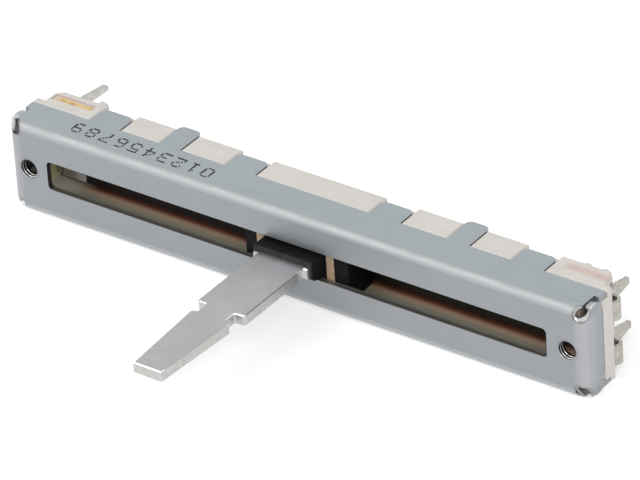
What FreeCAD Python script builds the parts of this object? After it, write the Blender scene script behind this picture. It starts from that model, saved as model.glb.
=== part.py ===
"""Dual-gang slide potentiometer, modelled in millimetres.

The origin lies midway between the two threaded mounting holes, on the front face of the cover.
+X runs along the slot, -Y points out of the slot along the lever, and +Z is up.
The part rests on its long lower side, with the lever level and the terminals at the back.
"""
import FreeCAD, Part
import os
import re
import Sketcher

SIZES = {
    # Working length
    "travel": 60.0,
    "carriage_length": 15.4,
    "end_play": 0.35,
    # Folded cover
    "cover_height": 12.8,
    "sheet_thickness": 0.8,
    "inside_bend": 0.4,
    "hole_margin": 2.8,
    "notch_line": 4.93,
    "wide_tongue_depth": 8.0,
    "tongue_proud": 0.75,
    "tongue_corner": 0.8,
    "ear_depth": 1.5,
    "ear_setback": 0.3,
    "ear_slack": 0.08,
    "flap_depth": 4.1,
    "flap_gap": 0.2,
    "flap_front_drop": 0.75,
    "flap_shoulder": 0.4,
    "crown_gap": 0.15,
    "crown_front": 1.6,
    "crown_back": 2.4,
    "flap_corner": 0.75,
    "flap_corner_drop": 1.3,
    "relief_radius": 0.95,
    "thread_radius": 1.25,
    "thread_chamfer": 0.08,
    "collar_wall": 0.7,
    "collar_depth": 0.4,
    "slot_land": 0.95,
    "slot_width": 4.0,
    "slot_corner": 0.6,
    # Blocks and tongues, from the middle outwards
    "centre_block_half": 8.45,
    "inner_tongue_width": 4.57,
    "second_block_width": 6.77,
    "narrow_tongue_width": 3.2,
    "third_block_width": 6.05,
    "outer_tongue_width": 4.65,
    # Moulded body
    "body_end_gap": 0.55,
    "back_lip": 1.05,
    "block_gap": 0.08,
    "block_front_gap": 0.08,
    "block_bevel": 0.18,
    "end_wall": 0.85,
    "end_inset": 0.15,
    "side_wall": 0.9,
    "seat_ledge": 0.3,
    "back_chamfer": 0.95,
    "collar_clearance": 0.15,
    "screw_reach": 4.0,
    "window_web": 0.25,
    "slit_height": 1.1,
    "stake_radius": 0.8,
    "stake_length": 0.85,
    "left_stake_length": 1.2,
    "stake_bevel": 0.3,
    "stake_margin": 0.33,
    "left_stake_inset": 5.7,
    "inner_stake_inset": 3.8,
    "outer_stake_inset": 1.3,
    # Board and its printed films
    "board_front": 6.6,
    "board_thickness": 1.2,
    "board_slack": 0.1,
    "ear_length": 5.9,
    "ear_clearance": 0.12,
    "film_thickness": 0.05,
    "pad_length": 3.6,
    "track_margin": 0.3,
    "track_spacing": 0.5,
    "centre_gap": 0.7,
    # End terminals
    "gang_margin": 1.9,
    "strip_thickness": 0.4,
    "crimp_width": 2.6,
    "crimp_reach": 1.9,
    "crimp_grip": 0.9,
    "crimp_drop": 0.5,
    "pin_inset": 0.5,
    "pin_reach": 3.7,
    "pin_root_width": 1.8,
    "pin_tip_width": 1.0,
    "pin_taper": 1.9,
    "pin_thickness": 0.5,
    "pin_end_rounding": 0.2,
    # Collector terminals
    "collector_foot": 2.2,
    "collector_pin_thickness": 0.55,
    "collector_pin_reach": 5.55,
    "collector_root_width": 1.6,
    "collector_pin_width": 0.82,
    "collector_pin_lean": 9.5,
    "rivet_radius": 0.45,
    "rivet_head_radius": 0.65,
    "rivet_head_height": 0.35,
    # Carriage and neck
    "front_play": 0.2,
    "back_play": 0.5,
    "carriage_clearance": 0.3,
    "carriage_rounding": 0.4,
    "carriage_wall": 1.0,
    "web_thickness": 2.2,
    "neck_clearance": 0.6,
    "neck_wall": 0.25,
    "neck_reach": 1.8,
    "neck_chamfer": 0.7,
    # Glide strips
    "glide_gap": 0.35,
    "glide_width": 1.1,
    "glide_depth": 1.0,
    "glide_play": 0.1,
    # Lever
    "lever_thickness": 1.5,
    "lever_width": 6.98,
    "lever_root_flare": 0.51,
    "lever_root_step": 0.4,
    "anchor_wall": 0.4,
    "shoulder_reach": 14.3,
    "lever_notch_width": 1.9,
    "lever_notch_half": 2.05,
    "tip_start_width": 5.7,
    "tip_end_width": 4.1,
    "lever_reach": 28.95,
    "lever_corner": 0.45,
    "lever_notch_root": 0.3,
    "lever_edge": 0.12,
    # Holder and wipers
    "holder_end_gap": 0.4,
    "holder_side_gap": 0.3,
    "holder_thickness": 1.1,
    "wiper_inset": 1.3,
    "wiper_thickness": 0.2,
    "finger_width": 0.55,
    "finger_pitch": 0.9,
    "finger_count": 2,
    "finger_bend": 1.0,
    "contact_rise": 0.1,
    "contact_fall": 0.2,
    "contact_gap": 0.05,
    # Cutters run past the solid by this much
    "cut_margin": 1.0,
}

# Places and sizes that follow from the sizes above
RULES = {
    "bend_radius": "inside_bend + sheet_thickness",
    "collar_radius": "thread_radius + collar_wall",
    "hole_pitch": "travel + carriage_length + 2 * collar_radius + 2 * end_play",
    "cover_x": "hole_pitch / 2 + hole_margin",
    "cover_z": "cover_height / 2",
    "inner_x": "cover_x - sheet_thickness",
    "inner_z": "cover_z - sheet_thickness",
    "slot_x": "hole_pitch / 2 - collar_radius - slot_land",
    "slot_z": "slot_width / 2",
    "ear_front": "notch_line - ear_depth",
    "flap_corner_start": "ear_front - flap_gap",
    "narrow_tongue_depth": "body_back + tongue_proud",
    "inner_tongue_end": "centre_block_half + inner_tongue_width",
    "second_block_end": "inner_tongue_end + second_block_width",
    "narrow_tongue_end": "second_block_end + narrow_tongue_width",
    "third_block_end": "narrow_tongue_end + third_block_width",
    "outer_tongue_end": "third_block_end + outer_tongue_width",
    "body_x": "inner_x - body_end_gap",
    "body_back": "board_back + back_lip",
    "end_x": "cover_x - end_inset",
    "end_front": "flap_depth + ear_slack",
    "end_back": "crimp_front - board_slack",
    "cavity_x": "body_x - end_wall",
    "cavity_z": "inner_z - side_wall",
    "seat_x": "board_x + board_slack",
    "seat_z": "board_z + board_slack",
    "board_x": "cavity_x + seat_ledge",
    "board_z": "cavity_z + seat_ledge",
    "board_back": "board_front + board_thickness",
    "ear_start": "board_x - ear_length",
    "left_ear_z": "cover_z - ear_clearance",
    "right_ear_z": "cover_z - window_web - board_slack",
    "film_front": "board_front - film_thickness",
    "pad_end": "board_x - crimp_grip",
    "track_end": "pad_end - pad_length",
    "track_width": "(cavity_z - track_margin - track_spacing - centre_gap) / 2",
    "track_height": "cavity_z - track_margin - track_width / 2",
    "collector_height": "track_height - track_width - track_spacing",
    "gang_height": "board_z - gang_margin",
    "crimp_front": "board_front - strip_thickness",
    "crimp_back": "board_back + strip_thickness",
    "loop_radius": "board_thickness / 2 + strip_thickness",
    "loop_x": "board_x + crimp_reach - loop_radius",
    "loop_y": "board_front + board_thickness / 2",
    "pin_tip": "body_back + pin_reach",
    "pin_taper_end": "pin_tip - pin_tip_width / 2",
    "pin_taper_start": "pin_taper_end - pin_taper",
    "foot_outer": "pad_end - 2 * board_slack",
    "foot_inner": "foot_outer - collector_foot",
    "rivet_x": "foot_outer - collector_foot / 2",
    "rivet_z": "board_z - collector_foot + rivet_head_radius + board_slack",
    "collector_pin_tip": "body_back + collector_pin_reach",
    "carriage_x": "carriage_length / 2",
    "carriage_z": "cavity_z - carriage_clearance",
    "carriage_front": "sheet_thickness + front_play",
    "carriage_back": "board_front - back_play",
    "arm_x": "carriage_x - carriage_wall",
    "web_back": "carriage_front + web_thickness",
    "neck_height": "slot_width - 2 * neck_clearance",
    "root_x": "lever_width / 2 + lever_root_flare",
    "neck_x": "root_x + neck_wall",
    "glide_inner": "neck_x + glide_gap",
    "glide_outer": "glide_inner + glide_width",
    "lever_anchor": "web_back - anchor_wall",
    "holder_x": "arm_x - holder_end_gap",
    "holder_z": "carriage_z - holder_side_gap",
    "wiper_seat": "web_back + holder_thickness",
    "wiper_x": "holder_x - wiper_inset",
    "contact": "film_front - contact_gap",
}

doc = FreeCAD.newDocument("slide_potentiometer")
sheet = doc.addObject("Spreadsheet::Sheet", "dims")
for row, (alias, size) in enumerate(SIZES.items(), start=1):
    sheet.set(f"A{row}", alias)
    sheet.set(f"B{row}", str(size))
    sheet.setAlias(f"B{row}", alias)
doc.recompute()

NODES = []
ALONG_Y = FreeCAD.Rotation(FreeCAD.Vector(0, 0, 1), FreeCAD.Vector(0, 1, 0))
SIDES = (("left", -1), ("right", 1))
GANGS = (("upper", 1), ("lower", -1))
SLACK = 1e-4


def bound(text):
    """Write a rule about sizes as an expression on the sheet's cells."""
    def swap(match):
        word = match.group()
        if word in RULES:
            return f"({bound(RULES[word])})"
        return f"dims.{word}" if word in SIZES else word

    return re.sub(r"[a-z][a-z_]*", swap, text)


def measure(text):
    """Work out a rule about sizes as a plain number."""
    return float(sheet.evalExpression(bound(text)))


def tie(thing, prop, text):
    thing.setExpression(prop, bound(text))


def near(a, b):
    return abs(a - b) < SLACK


def lies_at(box, axis, *places):
    """Tell whether a bounding box is flat at one of the places along an axis."""
    low = getattr(box, f"{axis}Min")
    high = getattr(box, f"{axis}Max")
    return any(near(low, place) and near(high, place) for place in places)


def in_order(*rules):
    """Sort rules from the lowest to the highest."""
    return sorted(rules, key=measure)


def new_body(label):
    body = doc.addObject("PartDesign::Body", label)
    body.Label = label
    NODES.append(body)
    return body


def keep(thing, label):
    """Keep a plain solid as a sub-part of its own."""
    thing.Label = label
    NODES.append(thing)
    return thing


def sketch_on(body, role, name, height="0"):
    """Start a sketch on one of the body's own planes, at a height along that plane's normal."""
    sketch = body.newObject("Sketcher::SketchObject", name)
    plane = next(f for f in body.Origin.OriginFeatures if f.Role == role)
    sketch.AttachmentSupport = [(plane, "")]
    sketch.MapMode = "FlatFace"
    if height != "0":
        tie(sketch, "AttachmentOffset.Base.z", height)
    return sketch


def outline(sketch, corners):
    """Draw a closed outline whose corners follow the rules given for their two coordinates."""
    spots = [FreeCAD.Vector(measure(a), measure(b), 0) for a, b in corners]
    first = sketch.GeometryCount
    count = len(spots)
    for k in range(count):
        sketch.addGeometry(Part.LineSegment(spots[k], spots[(k + 1) % count]))
    for k in range(count):
        sketch.addConstraint(Sketcher.Constraint("Coincident", first + k, 2, first + (k + 1) % count, 1))
    for k, corner in enumerate(corners):
        for kind, rule, spot in zip(("DistanceX", "DistanceY"), corner, spots[k]):
            place = Sketcher.Constraint(kind, -1, 1, first + k, 1, spot)
            index = sketch.addConstraint(place)
            tie(sketch, f"Constraints[{index}]", rule)


def rectangle(sketch, x_low, x_high, y_low, y_high):
    outline(sketch, [(x_low, y_low), (x_high, y_low), (x_high, y_high), (x_low, y_high)])


def pad(body, sketch, name, length, both_ways=False, toward_normal=True):
    feature = body.newObject("PartDesign::Pad", name)
    feature.Profile = sketch
    tie(feature, "Length", length)
    feature.SideType = "Symmetric" if both_ways else "One side"
    feature.Reversed = not toward_normal
    doc.recompute()
    return feature


def pocket(body, sketch, name, length, both_ways=False, toward_normal=False):
    """Cut a pocket and make sure that it takes something away."""
    before = body.Shape.Volume
    feature = body.newObject("PartDesign::Pocket", name)
    feature.Profile = sketch
    tie(feature, "Length", length)
    feature.SideType = "Symmetric" if both_ways else "One side"
    feature.Reversed = toward_normal
    doc.recompute()
    if not body.Shape.Volume < before:
        raise ValueError(f"{name} cuts nothing")
    return feature


def round_edges(body, name, radius, test, kind="PartDesign::Fillet"):
    """Round or bevel the edges whose bounding box passes the test."""
    base = body.Tip
    edges = [f"Edge{k}" for k, edge in enumerate(base.Shape.Edges, start=1) if test(edge.BoundBox)]
    feature = body.newObject(kind, name)
    feature.Base = (base, edges)
    tie(feature, "Radius" if kind.endswith("Fillet") else "Size", radius)
    doc.recompute()
    return feature


def rod(body, kind, name, radius, length, place, turn):
    """Add or cut a cylinder that starts at a place and runs along the turned Z axis."""
    before = body.Shape.Volume
    feature = body.newObject(kind, name)
    tie(feature, "Radius", radius)
    tie(feature, "Height", length)
    feature.Placement = FreeCAD.Placement(FreeCAD.Vector(*(measure(rule) for rule in place)), turn)
    for axis, rule in zip("xyz", place):
        tie(feature, f"Placement.Base.{axis}", rule)
    doc.recompute()
    if near(body.Shape.Volume, before):
        raise ValueError(f"{name} changes nothing")
    return feature


def block(name, label, x, y, z):
    """Make a plain box between two rules along each axis."""
    box = doc.addObject("Part::Box", name)
    for prop, axis, (low, high) in (("Length", "x", x), ("Width", "y", y), ("Height", "z", z)):
        tie(box, prop, f"({high}) - ({low})")
        tie(box, f"Placement.Base.{axis}", low)
    return keep(box, label)


def battlement_rules():
    """Corners of the line along which the flanges end, from the left end to the right end."""
    steps = [
        ("centre_block_half", "inner_tongue_end", "wide_tongue_depth"),
        ("second_block_end", "narrow_tongue_end", "narrow_tongue_depth"),
        ("third_block_end", "outer_tongue_end", "wide_tongue_depth"),
    ]
    right = []
    for inner, outer, depth in steps:
        right += [(inner, "notch_line"), (inner, depth), (outer, depth), (outer, "notch_line")]
    left = [(f"-{x}", y) for x, y in reversed(right)]
    return left + right


def flap_crown_rules():
    """Corners of the room around an end flap's upper edge, which drops to pass under the flange's ear."""
    over = "cover_z + cut_margin"
    past = "flap_depth + cut_margin"
    return [
        ("bend_radius / 2", over),
        ("bend_radius / 2", "cover_z - flap_front_drop"),
        ("crown_front", "cover_z - crown_gap"),
        ("crown_back", "cover_z - crown_gap"),
        ("flap_corner_start", "cover_z - flap_shoulder"),
        ("flap_corner_start + flap_corner / 2", "inner_z - flap_shoulder"),
        ("flap_depth", "inner_z - flap_corner_drop"),
        (past, "inner_z - flap_corner_drop"),
        (past, "inner_z"),
        ("ear_front", "inner_z"),
        ("ear_front", over),
    ]


def make_cover():
    """Folded sheet: front with slot, two long flanges with tongues, and two end flaps."""
    body = new_body("metal_cover")
    blank = sketch_on(body, "XZ_Plane", "cover_outline")
    rectangle(blank, "-cover_x", "cover_x", "-cover_z", "cover_z")
    pad(body, blank, "cover_shell", "narrow_tongue_depth", toward_normal=False)
    round_edges(body, "outer_bends", "bend_radius", lambda b: lies_at(b, "Y", 0))

    hollow = sketch_on(body, "XZ_Plane", "cover_hollow", "-sheet_thickness")
    rectangle(hollow, "-inner_x", "inner_x", "-inner_z", "inner_z")
    pocket(body, hollow, "cover_inside", "narrow_tongue_depth")
    sheet_line = measure("sheet_thickness")
    widest = measure("inner_x") + SLACK
    round_edges(
        body, "inner_bends", "inside_bend",
        lambda b: lies_at(b, "Y", sheet_line) and b.XMax < widest)

    beyond = "(cover_x + cut_margin)"
    past = "(narrow_tongue_depth + cut_margin)"
    flap_edge = "(inner_x - ear_setback)"
    ends = sketch_on(body, "XY_Plane", "flap_trim")
    rectangle(ends, flap_edge, beyond, "flap_depth", past)
    rectangle(ends, f"-{beyond}", f"-{flap_edge}", "flap_depth", past)
    pocket(body, ends, "flap_ends", "2 * inner_z", both_ways=True)

    for level, z_sign in GANGS:
        slit_start = f"{z_sign} * (inner_z - sheet_thickness)"
        slits = sketch_on(body, "XY_Plane", f"{level}_corner_slits", slit_start)
        for _, x_sign in SIDES:
            low, high = in_order(f"{x_sign} * (inner_x - flap_gap)", f"{x_sign} * inner_x")
            rectangle(slits, low, high, "bend_radius / 2", "ear_front")
        pocket(body, slits, f"{level}_corner_gaps", "cover_height", toward_normal=z_sign > 0)
    for side, x_sign in SIDES:
        crowns = sketch_on(body, "YZ_Plane", f"{side}_flap_crown_outline", f"{x_sign} * inner_x")
        for _, z_sign in GANGS:
            outline(crowns, [(y, f"{z_sign} * ({z})") for y, z in flap_crown_rules()])
        pocket(body, crowns, f"{side}_flap_crowns", "sheet_thickness + cut_margin", toward_normal=x_sign > 0)
    trim = sketch_on(body, "XY_Plane", "ear_trim")
    for _, x_sign in SIDES:
        low, high = in_order(f"{x_sign} * (cover_x - ear_setback)", f"{x_sign} * {beyond}")
        rectangle(trim, low, high, "ear_front - ear_slack", "notch_line + ear_slack")
    pocket(body, trim, "ear_ends", "cover_height + cut_margin", both_ways=True)

    tongues = sketch_on(body, "XY_Plane", "tongue_line")
    corners = [(f"-{beyond}", "notch_line")] + battlement_rules() + [(beyond, "notch_line")]
    outline(tongues, corners + [(beyond, past), (f"-{beyond}", past)])
    pocket(body, tongues, "tongues", "cover_height + cut_margin", both_ways=True)
    tips = [measure("wide_tongue_depth"), measure("narrow_tongue_depth")]
    round_edges(
        body, "tongue_corners", "tongue_corner",
        lambda b: lies_at(b, "Y", *tips) and b.XLength < SLACK)

    opening = sketch_on(body, "XZ_Plane", "slot_outline")
    rectangle(opening, "-slot_x", "slot_x", "-slot_z", "slot_z")
    pocket(body, opening, "slot", "2 * sheet_thickness")
    slot_end = measure("slot_x")
    slot_edge = measure("slot_z")
    round_edges(
        body, "slot_corners", "slot_corner",
        lambda b: lies_at(b, "X", slot_end, -slot_end) and lies_at(b, "Z", slot_edge, -slot_edge))

    for side, sign in SIDES:
        centre = f"{sign} * hole_pitch / 2"
        rod(body, "PartDesign::AdditiveCylinder", f"{side}_collar", "collar_radius",
            "collar_depth + sheet_thickness / 2", (centre, "sheet_thickness / 2", "0"), ALONG_Y)
        rod(body, "PartDesign::SubtractiveCylinder", f"{side}_thread", "thread_radius",
            "collar_depth + 3 * sheet_thickness", (centre, "-sheet_thickness", "0"), ALONG_Y)
    bore = measure("thread_radius")
    round_edges(
        body, "thread_mouths", "thread_chamfer",
        lambda b: lies_at(b, "Y", 0) and near(b.ZMax, bore) and near(b.XLength, 2 * bore),
        "PartDesign::Chamfer")

    for side, x_sign in SIDES:
        for level, z_sign in GANGS:
            turn = FreeCAD.Rotation(FreeCAD.Vector(0, 0, 1), FreeCAD.Vector(-x_sign, 1, -z_sign))
            start = (
                f"{x_sign} * (cover_x + relief_radius / 2)",
                "-relief_radius",
                f"{z_sign} * (cover_z + relief_radius / 2)",
            )
            rod(body, "PartDesign::SubtractiveCylinder", f"{level}_{side}_relief", "relief_radius",
                "4 * relief_radius", start, turn)
    return body


def make_moulding():
    """White frame: raised blocks between the tongues, cavity for the carriage, seat for the board."""
    body = new_body("moulded_body")
    frame = sketch_on(body, "XZ_Plane", "frame_outline", "-sheet_thickness")
    rectangle(frame, "-body_x", "body_x", "-inner_z", "inner_z")
    pad(body, frame, "frame", "body_back - sheet_thickness", toward_normal=False)
    walls = sketch_on(body, "XZ_Plane", "end_wall_outline", "-end_front")
    rectangle(walls, "-end_x", "end_x", "-inner_z", "inner_z")
    pad(body, walls, "end_walls", "end_back - end_front", toward_normal=False)
    front = measure("sheet_thickness")
    round_edges(
        body, "frame_front", "inside_bend + collar_clearance",
        lambda b: lies_at(b, "Y", front) and b.ZLength < SLACK)

    blocks = sketch_on(body, "XY_Plane", "block_outlines")
    spans = [
        ("inner_tongue_end + block_gap", "second_block_end - block_gap"),
        ("narrow_tongue_end + block_gap", "third_block_end - block_gap"),
    ]
    block_front = "notch_line + block_front_gap"
    centre = "(centre_block_half - block_gap)"
    rectangle(blocks, f"-{centre}", centre, block_front, "body_back")
    for low, high in spans:
        rectangle(blocks, low, high, block_front, "body_back")
        rectangle(blocks, f"-({high})", f"-({low})", block_front, "body_back")
    start = "outer_tongue_end + block_gap"
    end_block = [(start, block_front), ("end_x", block_front), ("end_x", "end_back")]
    end_block += [("body_x", "end_back"), ("body_x", "body_back"), (start, "body_back")]
    for _, sign in SIDES:
        outline(blocks, [(f"{sign} * ({x})", y) for x, y in end_block])
    pad(body, blocks, "blocks", "cover_height", both_ways=True)
    back = measure("body_back")
    end = measure("body_x")
    step = measure("end_back")
    top = measure("cover_z")
    round_edges(
        body, "end_corners", "back_chamfer",
        lambda b: lies_at(b, "X", end, -end) and lies_at(b, "Y", back),
        "PartDesign::Chamfer")
    round_edges(
        body, "block_edges", "block_bevel",
        lambda b: lies_at(b, "Z", top, -top) or (near(b.ZLength, 2 * top) and not lies_at(b, "X", end, -end)),
        "PartDesign::Chamfer")

    cavity = sketch_on(body, "XZ_Plane", "cavity_outline")
    rectangle(cavity, "-cavity_x", "cavity_x", "-cavity_z", "cavity_z")
    pocket(body, cavity, "cavity", "body_back + cut_margin")
    seat = sketch_on(body, "XZ_Plane", "board_seat_outline", "-board_front")
    rectangle(seat, "-seat_x", "seat_x", "-seat_z", "seat_z")
    pocket(body, seat, "board_seat", "body_back")

    window_back = "board_back + board_slack"
    for side, x_sign in SIDES:
        for level, z_sign in GANGS:
            ear = sketch_on(body, "XY_Plane", f"{level}_{side}_ear_slot", f"{z_sign} * cavity_z")
            low, high = in_order(f"{x_sign} * (ear_start - board_slack)", f"{x_sign} * seat_x")
            rectangle(ear, low, high, "board_front", window_back)
            reach = "cover_z - cavity_z" + (" - window_web" if side == "right" else " + cut_margin")
            pocket(body, ear, f"{level}_{side}_window", reach, toward_normal=z_sign > 0)
    for level, z_sign in GANGS:
        slit = sketch_on(body, "XY_Plane", f"{level}_board_slit_outline", f"{z_sign} * cavity_z")
        rectangle(slit, "seat_x - board_slack", "body_x + cut_margin", "board_front", window_back)
        pocket(body, slit, f"{level}_board_slit", "slit_height", toward_normal=z_sign > 0)

    notches = sketch_on(body, "XZ_Plane", "crimp_notch_outline", "board_slack - crimp_front")
    half = "(crimp_width / 2 + board_slack)"
    for _, x_sign in SIDES:
        for _, z_sign in GANGS:
            middle = f"{z_sign} * gang_height - {x_sign} * crimp_drop"
            low, high = in_order(f"{x_sign} * (cavity_x - cut_margin)", f"{x_sign} * (body_x + cut_margin)")
            rectangle(notches, low, high, f"{middle} - {half}", f"{middle} + {half}")
    pocket(body, notches, "crimp_notches", "body_back")

    for side, sign in SIDES:
        centre = f"{sign} * hole_pitch / 2"
        rod(body, "PartDesign::SubtractiveCylinder", f"{side}_collar_room",
            "collar_radius + collar_clearance", "screw_reach", (centre, "0", "0"), ALONG_Y)

    stakes = (
        ("left_stake", "left_stake_inset - board_x", "left_stake_length"),
        ("inner_stake", "board_x - inner_stake_inset", "stake_length"),
        ("outer_stake", "board_x - outer_stake_inset", "stake_length"),
    )
    for level, z_sign in GANGS:
        stake_z = f"{z_sign} * (cover_z - stake_radius - stake_margin)"
        for name, x, length in stakes:
            rod(body, "PartDesign::AdditiveCylinder", f"{level}_{name}", "stake_radius",
                f"{length} + block_bevel", (x, "body_back - block_bevel", stake_z), ALONG_Y)
    tips = [measure(f"body_back + {length}") for _, _, length in stakes]
    round_edges(body, "stake_heads", "stake_bevel", lambda b: lies_at(b, "Y", *tips), "PartDesign::Chamfer")
    return body


def make_board():
    """Phenolic board with four ears that stand in the windows of the end blocks."""
    body = new_body("phenolic_board")
    board = sketch_on(body, "XZ_Plane", "board_outline", "-board_front")
    right = [("ear_start", "board_z"), ("ear_start", "right_ear_z"), ("board_x", "right_ear_z")]
    left = [("-board_x", "left_ear_z"), ("-ear_start", "left_ear_z"), ("-ear_start", "board_z")]
    upper = left + right
    outline(board, upper + [(x, f"-{z}") for x, z in reversed(upper)])
    pad(body, board, "board", "board_thickness", toward_normal=False)
    for level, z_sign in GANGS:
        place = ("-rivet_x", "board_front - board_thickness / 2", f"{z_sign} * rivet_z")
        rod(body, "PartDesign::SubtractiveCylinder", f"{level}_rivet_hole", "rivet_radius",
            "2 * board_thickness", place, ALONG_Y)
    return body


def make_films():
    """Printed films on the front of the board: tracks, and pads at the ends of the resistive tracks."""
    front = ("film_front", "board_front")
    for level, z_sign in GANGS:
        for kind, height in (("resistive", "track_height"), ("collector", "collector_height")):
            middle = f"{z_sign} * {height}"
            rise = (f"{middle} - track_width / 2", f"{middle} + track_width / 2")
            block(f"{level}_{kind}_film", f"{level}_{kind}_track", ("-track_end", "track_end"), front, rise)
            if kind == "resistive":
                for side, ends in (("left", ("-pad_end", "-track_end")), ("right", ("track_end", "pad_end"))):
                    block(f"{level}_{side}_film", f"{level}_{side}_silver_pad", ends, front, rise)


def make_end_terminal(level, side):
    """Tinned strip folded round the end of the board, with a tapered pin that points back."""
    name = f"{level}_{side}"
    body = new_body(f"{name}_terminal")
    upright = FreeCAD.Rotation()
    crimp_foot = "-crimp_drop - crimp_width / 2"
    legs = sketch_on(body, "XY_Plane", f"{name}_legs", "-crimp_drop")
    rectangle(legs, "pad_end", "loop_x", "crimp_front", "crimp_back")
    pad(body, legs, f"{name}_crimp", "crimp_width", both_ways=True)
    rod(body, "PartDesign::AdditiveCylinder", f"{name}_loop", "loop_radius", "crimp_width",
        ("loop_x", "loop_y", crimp_foot), upright)
    mouth = sketch_on(body, "XY_Plane", f"{name}_mouth", "-crimp_drop")
    rectangle(mouth, "pad_end - cut_margin", "loop_x", "board_front", "board_back")
    pocket(body, mouth, f"{name}_grip", "crimp_width + cut_margin", both_ways=True)
    bore_start = ("loop_x", "loop_y", f"{crimp_foot} - cut_margin")
    rod(body, "PartDesign::SubtractiveCylinder", f"{name}_loop_bore", "board_thickness / 2",
        "crimp_width + 2 * cut_margin", bore_start, upright)

    pin = sketch_on(body, "YZ_Plane", f"{name}_pin_outline", "board_x - pin_inset")
    root = "pin_root_width / 2"
    tip = "pin_tip_width / 2"
    above = [("board_back", root), ("pin_taper_start", root), ("pin_taper_end", tip), ("pin_tip", tip)]
    outline(pin, above + [(y, f"-{z}") for y, z in reversed(above)])
    pad(body, pin, f"{name}_pin", "pin_thickness", both_ways=True)
    corner = measure("pin_tip")
    round_edges(
        body, f"{name}_pin_end", "pin_end_rounding",
        lambda b: lies_at(b, "Y", corner) and b.ZLength < SLACK)
    if side == "left":
        body.Placement.Rotation = FreeCAD.Rotation(FreeCAD.Vector(0, 1, 0), 180)
    tie(body, "Placement.Base.z", "gang_height" if level == "upper" else "-gang_height")
    return body


def make_collector_terminal(level, z_sign):
    """Foot on the back of the board and a long pin bent out of it, leaning a little to one side."""
    body = new_body(f"{level}_collector_terminal")
    top = f"{z_sign} * board_z"
    foot = sketch_on(body, "XZ_Plane", f"{level}_foot_outline", "-board_back")
    rectangle(foot, "-foot_outer", "-foot_inner", f"{z_sign} * (board_z - collector_foot)", top)
    pad(body, foot, f"{level}_foot", "strip_thickness", toward_normal=False)
    rod(body, "PartDesign::SubtractiveCylinder", f"{level}_foot_hole", "rivet_radius", "3 * strip_thickness",
        ("-rivet_x", "board_back - strip_thickness", f"{z_sign} * rivet_z"), ALONG_Y)

    middle = f"{z_sign} * (board_z - collector_pin_thickness / 2)"
    pin = sketch_on(body, "XY_Plane", f"{level}_collector_pin_outline", middle)
    lean = "collector_pin_reach * tan(collector_pin_lean)"
    outline(pin, [
        ("-foot_outer", "board_back"),
        ("collector_root_width - foot_outer", "board_back"),
        ("collector_root_width - foot_outer", "body_back"),
        (f"collector_pin_width - foot_outer + {lean}", "collector_pin_tip"),
        (f"{lean} - foot_outer", "collector_pin_tip"),
        ("-foot_outer", "body_back")])
    pad(body, pin, f"{level}_collector_pin", "collector_pin_thickness", both_ways=True)
    return body


def make_rivets():
    """Two rivets through the board, flush at its front, one for each collector terminal."""
    solids = []
    pieces = (
        ("shank", "rivet_radius", "board_front", "board_thickness + strip_thickness"),
        ("head", "rivet_head_radius", "crimp_back", "rivet_head_height"),
    )
    for level, z_sign in GANGS:
        for name, radius, start, length in pieces:
            cylinder = doc.addObject("Part::Cylinder", f"{level}_rivet_{name}")
            tie(cylinder, "Radius", radius)
            tie(cylinder, "Height", length)
            cylinder.Placement.Rotation = ALONG_Y
            tie(cylinder, "Placement.Base.x", "-rivet_x")
            tie(cylinder, "Placement.Base.y", start)
            tie(cylinder, "Placement.Base.z", f"{z_sign} * rivet_z")
            solids.append(cylinder)
    joined = doc.addObject("Part::MultiFuse", "rivets")
    joined.Shapes = solids
    return keep(joined, "collector_rivets")


def make_carriage():
    """Black moulding: front plate with side arms, and the neck that stands in the slot."""
    body = new_body("carriage")
    plate = sketch_on(body, "XZ_Plane", "carriage_outline", "-carriage_front")
    rectangle(plate, "-carriage_x", "carriage_x", "-carriage_z", "carriage_z")
    pad(body, plate, "carriage_plate", "carriage_back - carriage_front", toward_normal=False)
    side = measure("carriage_x")
    round_edges(
        body, "carriage_corners", "carriage_rounding",
        lambda b: lies_at(b, "X", side, -side) and b.YLength < SLACK)

    below = "-carriage_z - cut_margin"
    above = "carriage_z + cut_margin"
    arms = sketch_on(body, "XZ_Plane", "arm_room_outline", "-web_back")
    rectangle(arms, "-arm_x", "arm_x", below, above)
    pocket(body, arms, "arm_room", "carriage_back")

    neck = sketch_on(body, "XZ_Plane", "neck_outline", "neck_reach")
    rectangle(neck, "-neck_x", "neck_x", "-neck_height / 2", "neck_height / 2")
    pad(body, neck, "neck", "neck_reach + web_back", toward_normal=False)
    face = measure("-neck_reach")
    under = measure("-neck_height / 2")
    round_edges(
        body, "neck_underside", "neck_chamfer",
        lambda b: lies_at(b, "Y", face) and lies_at(b, "Z", under),
        "PartDesign::Chamfer")

    lever_seat = sketch_on(body, "XZ_Plane", "lever_seat_outline", "neck_reach")
    rectangle(lever_seat, "-root_x", "root_x", "-lever_thickness / 2", "lever_thickness / 2")
    pocket(body, lever_seat, "lever_seat", "neck_reach + lever_anchor")

    grooves = sketch_on(body, "XZ_Plane", "glide_groove_outline", "-carriage_front")
    for _, sign in SIDES:
        low, high = in_order(f"{sign} * glide_inner", f"{sign} * glide_outer")
        rectangle(grooves, low, high, below, above)
    pocket(body, grooves, "glide_grooves", "glide_depth")
    return body


def make_glides():
    """Tan strips in the front of the carriage that run along the inside of the cover."""
    for side, sign in SIDES:
        across = in_order(f"{sign} * glide_inner", f"{sign} * glide_outer")
        depth = ("sheet_thickness + glide_play", "carriage_front + glide_depth")
        block(f"{side}_glide_box", f"{side}_glide_strip", across, depth, ("-carriage_z", "carriage_z"))


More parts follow.
